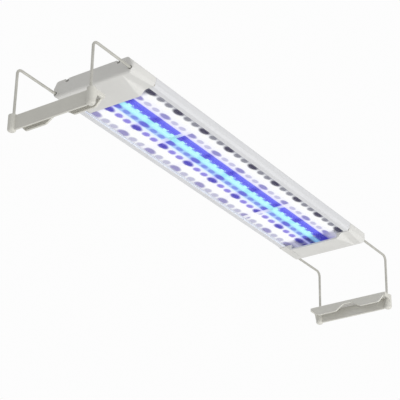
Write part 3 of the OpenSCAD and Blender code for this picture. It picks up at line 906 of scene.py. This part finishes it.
def wire_path(s):
    """From inside the housing out through the cap, round the bend and down into the foot."""
    leg_x = WIRE_HIGH.x - WIRE_R
    top = BASE + WIRE_H
    y = s * WIRE_Y
    path = [(WIRE_LOW.x, y, top), ((WIRE_LOW.x + leg_x) / 2, y, top)]
    for i in range(17):
        a = math.pi / 2 * i / 16
        path.append((leg_x - BEND_R + BEND_R * math.sin(a), y, top - BEND_R + BEND_R * math.cos(a)))
    path += [(leg_x, y, top / 2), (leg_x, y, WIRE_LOW.z)]
    return path


def make_wires(side):
    word = "right" if side > 0 else "left"
    for place, s in (("front", -1), ("rear", 1)):
        node = f"leg_wire_{word}_{place}"
        mesh = tube(wire_path(s), WIRE_R)
        mesh = mesh if side > 0 else mirrored(mesh)
        piece(f"{node}_rod", mesh, f"{word}_leg", STEEL_WIRE, [node], sharp=50)
        guide = f"wire_guide_{word}_{place}"
        ring = [circle(s * WIRE_Y, BASE + WIRE_H, 2.18), circle(s * WIRE_Y, BASE + WIRE_H, 1.56)]
        mesh = prism(ring, GUIDE_LOW.x, GUIDE_HIGH.x, edge=0.12)
        mesh = mesh if side > 0 else mirrored(mesh)
        piece(f"{guide}_bush", mesh, "light_body", GUIDE_NYLON, [guide])


# ---- feet ----

FOOT_T = 2.5
SHELF_Z = FOOT_HIGH.z - 1.2
SOCKET_R = 4.7
SOCKET_Y = 50.5
SOCKET_TIP = 3.0
OUTER_X = 309.0
INNER_X = OUTER_X - 17.0
FOOT_HALF = 53.0
GUSSET_T = FOOT_HIGH.y - FOOT_HALF


def socket_solid(s):
    """A round socket with a rounded lower tip and a softened rim."""
    height = FOOT_HIGH.z
    tip = [(SOCKET_R - SOCKET_TIP + SOCKET_TIP * math.sin(a), SOCKET_TIP - SOCKET_TIP * math.cos(a))
           for a in [math.pi / 2 * i / 6 for i in range(7)]]
    rim = [(SOCKET_R - 0.6 + 0.6 * math.cos(a), height - 0.6 + 0.6 * math.sin(a))
           for a in [math.pi / 2 * i / 4 for i in range(5)]]
    return moved(lathe([(0, 0)] + tip + rim + [(0, height)]), WIRE_HIGH.x - WIRE_R, s * SOCKET_Y)


def foot_solids():
    """The outer plate, the arched inner plate, the shelf, the end walls and the sockets."""
    outer = [(-FOOT_HALF + 7.5, 1, 3), (FOOT_HALF - 7.5, 1, 3), (FOOT_HALF, 8.5, 3), (FOOT_HALF, SHELF_Z, 0.8),
             (-FOOT_HALF, SHELF_Z, 0.8), (-FOOT_HALF, 8.5, 3)]
    inner_half = [(6.5, 13.5, 4), (18, 6, 4), (45, 6, 5), (FOOT_HALF, 14.5, 2), (FOOT_HALF, SHELF_Z, 0.8)]
    inner = inner_half + [(-y, h, r) for y, h, r in reversed(inner_half)]
    parts = [prism([rounded(outer)], OUTER_X - FOOT_T, OUTER_X, edge=0.6, steps=3),
             prism([rounded(inner, steps=6)], INNER_X, INNER_X + FOOT_T, edge=0.6, steps=3)]
    inset, sunk = 0.9, 0.04
    shelf = box_outline(INNER_X + inset, OUTER_X - inset, SHELF_Z - FOOT_T, SHELF_Z - 2 * sunk, 0)
    parts.append(prism([shelf], -FOOT_HALF - 0.5, FOOT_HALF + 0.5, axis="y", edge=0.0))
    top = SHELF_Z - sunk
    gusset = [(INNER_X + sunk, top, 0.9), (INNER_X + sunk, 13, 1), (INNER_X + 11, 13, 2), (OUTER_X - FOOT_T, 4, 1),
              (OUTER_X - sunk, 4, 0.9), (OUTER_X - sunk, top, 0.9)]
    for s in (-1, 1):
        ends = sorted((s * (FOOT_HALF - 1), s * (FOOT_HALF + GUSSET_T)))
        parts.append(prism([rounded(gusset)], *ends, axis="y", edge=0.7, steps=4))
        parts.append(socket_solid(s))
    return parts


def make_foot(side):
    word = "right" if side > 0 else "left"
    parts = foot_solids()
    mesh = union(parts[0], *parts[1:])
    wires = [prism([circle(WIRE_HIGH.x - WIRE_R, s * WIRE_Y, WIRE_R)], WIRE_LOW.z, FOOT_HIGH.z + 5, axis="z", edge=0.0)
             for s in (-1, 1)]
    mesh = cut(mesh, *wires)
    mesh = mesh if side > 0 else mirrored(mesh)
    piece(f"foot_{word}_channel", mesh, f"{word}_leg", FOOT_PLASTIC, [f"foot_{word}"], sharp=40)


def make_foot_pad(side):
    """A soft strip with ribs along it, on the underside of the foot's shelf."""
    word = "right" if side > 0 else "left"
    low, high = PAD_LOW, PAD_HIGH
    count = 5
    pitch = (high.x - low.x) / count
    line = [(low.x, high.z, 0.2)]
    for i in range(count):
        x = low.x + i * pitch
        line += [(x + 0.15, low.z, 0.35), (x + pitch - 0.35, low.z, 0.35)]
        if i < count - 1:
            line += [(x + pitch - 0.25, low.z + 0.6, 0.1), (x + pitch + 0.05, low.z + 0.6, 0.1)]
    line += [(high.x, high.z, 0.2)]
    mesh = prism([rounded(line)], low.y, high.y, axis="y", edge=0.2)
    mesh = mesh if side > 0 else mirrored(mesh)
    piece(f"foot_pad_{word}_strip", mesh, f"{word}_leg", FOOT_RUBBER, [f"foot_pad_{word}"])


# ---- cable gland ----

def hexagon(radius):
    return [Vector((radius * math.cos(math.tau * i / 6), radius * math.sin(math.tau * i / 6))) for i in range(6)]


def make_gland():
    centre = (NUT_LOW + NUT_HIGH) / 2
    at = dict(x=centre.x, y=centre.y, z=TOP)
    flange = prism([rounded(hexagon(7.0), 0.6), circle(0, 0, 3.4)], 0, 2, axis="z", edge=0.3)
    thread = [(3.2, -8.0), (4.2, -8.0)]
    for i in range(7):
        thread += [(4.5, -7.6 + i), (4.2, -7.1 + i)]
    thread += [(4.2, 0.2), (4.2, 6.8), (3.2, 6.8)]
    piece("gland_body_flange", moved(flange, **at), "light_body", BLACK_NYLON, ["gland_body"])
    piece("gland_body_thread", moved(lathe(thread), **at), "light_body", BLACK_NYLON)
    nut = prism([rounded(hexagon(6.8), 0.5), circle(0, 0, 4.5)], 2.05, 7, axis="z", edge=0.35)
    dome_low, dome_high = 6.9, NUT_HIGH.z - TOP
    dome = [(3.05, dome_low), (5.85, dome_low), (5.7, 7.8), (5.3, 8.7), (4.7, 9.4), (4.1, dome_high),
            (3.4, dome_high), (3.05, dome_high - 0.35)]
    piece("gland_nut_grip", joined([moved(nut, **at), moved(lathe(dome), **at)]), "light_body",
          BLACK_NYLON, ["gland_nut"])
    seal = [(2.75, 1.0), (3.18, 1.0), (3.18, 7.0), (2.95, 7.0), (2.75, 6.6)]
    piece("gland_seal_ring", moved(lathe(seal), **at), "light_body", SEAL_RUBBER, ["gland_seal"])


# ---- CAD nodes that stay ----

KEPT_NODES = {
    "end_gasket_left": GASKET_RUBBER, "end_gasket_right": GASKET_RUBBER,
    "cover_seal_front": GASKET_RUBBER, "cover_seal_rear": GASKET_RUBBER,
    "strip_resistors": STRIP_PAINTED_LIGHT, "gland_locknut": BLACK_NYLON,
    "wire_stop_left_front": BRASS, "wire_stop_left_rear": BRASS,
    "wire_stop_right_front": BRASS, "wire_stop_right_rear": BRASS,
    "wiring_board": LAMINATE, "terminal_block": TERMINAL_PLASTIC,
    "lead_white_front": LEAD_PLASTIC, "lead_blue": LEAD_PLASTIC, "lead_white_rear": LEAD_PLASTIC,
}


def finish_kept_nodes():
    for node, material in KEPT_NODES.items():
        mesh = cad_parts[node].data
        mesh.materials.clear()
        mesh.materials.append(material)


# ---- studio ----

def aimed(place, target):
    direction = Vector(target) - Vector(place)
    return Matrix.Translation(place) @ direction.to_track_quat("-Z", "Y").to_matrix().to_4x4()


def make_camera():
    """Looks up along the light from below its front left."""
    aim = Vector((0.0, 0.0325, 0.0484))
    heading, rise, roll = (math.radians(a) for a in (34.84, 26.44, 1.148))
    distance = 1.6911
    sight = Vector((math.cos(rise) * math.cos(heading), math.cos(rise) * math.sin(heading), math.sin(rise)))
    level = Vector((math.sin(heading), -math.cos(heading), 0.0))
    lifted = level.cross(sight)
    right = level * math.cos(roll) + lifted * math.sin(roll)
    up = right.cross(sight)
    data = bpy.data.cameras.new("camera")
    data.lens = 130.08
    data.sensor_width = 36.0
    data.clip_start = 0.05
    data.clip_end = 50.0
    camera = bpy.data.objects.new("camera", data)
    bpy.context.scene.collection.objects.link(camera)
    turn = Matrix((right, up, -sight)).transposed().to_4x4()
    camera.matrix_world = Matrix.Translation(aim - sight * distance) @ turn
    bpy.context.scene.camera = camera


def make_light(name, place, target, size, power):
    data = bpy.data.lights.new(name, "AREA")
    data.shape = "RECTANGLE"
    data.size, data.size_y = size
    data.energy = power
    lamp = bpy.data.objects.new(name, data)
    bpy.context.scene.collection.objects.link(lamp)
    lamp.matrix_world = aimed(place, target)
    lamp.visible_camera = False
    lamp.visible_glossy = False


BACKDROP = 0.98
AMBIENT = 0.62


def make_world():
    """White all round to the eye, and a softer white as a light."""
    world = bpy.data.worlds.new("studio")
    bpy.context.scene.world = world
    world.use_nodes = True
    tree = world.node_tree
    tree.nodes.clear()
    seen, lighting = (tree.nodes.new("ShaderNodeBackground") for _ in range(2))
    seen.inputs["Strength"].default_value = BACKDROP
    lighting.inputs["Strength"].default_value = AMBIENT
    for node in (seen, lighting):
        node.inputs["Color"].default_value = (1, 1, 1, 1)
    path = tree.nodes.new("ShaderNodeLightPath")
    mix = tree.nodes.new("ShaderNodeMixShader")
    output = tree.nodes.new("ShaderNodeOutputWorld")
    tree.links.new(path.outputs["Is Camera Ray"], mix.inputs[0])
    tree.links.new(lighting.outputs[0], mix.inputs[1])
    tree.links.new(seen.outputs[0], mix.inputs[2])
    tree.links.new(mix.outputs[0], output.inputs[0])


def make_floor():
    """A plain pale floor, far enough below for the view from under the light."""
    size, level = 8.0, -1.3
    work = bmesh.new()
    bmesh.ops.create_grid(work, x_segments=4, y_segments=4, size=size)
    mesh = bpy.data.meshes.new("floor")
    work.to_mesh(mesh)
    work.free()
    surface = Surface("floor_paint", (0.86, 0.86, 0.86), 0.8)
    surface.vary_color(surface.noise(400.0), (0.85, 0.85, 0.85), (0.87, 0.87, 0.87))
    mesh.materials.append(surface.material)
    floor = bpy.data.objects.new("floor", mesh)
    floor.location.z = level
    bpy.context.scene.collection.objects.link(floor)


make_camera()
make_world()
make_floor()
make_light("soft_front", (-0.2, -2.2, -0.3), (0, 0, 0.07), (2.0, 1.2), 22.0)
make_light("soft_below", (0.3, -0.2, -1.15), (0, 0, 0.07), (1.6, 1.6), 8.0)
make_light("soft_top", (0.6, 0.6, 2.4), (0, 0, 0.07), (2.0, 2.0), 25.0)
bpy.context.scene.view_settings.view_transform = "Standard"

make_housing()
make_trays()
make_strips()
make_leds()
make_cover()
for end in (-1, 1):
    make_end_cap(end)
    make_cap_screws(end)
    make_wires(end)
    make_foot(end)
    make_foot_pad(end)
make_gland()
finish_kept_nodes()
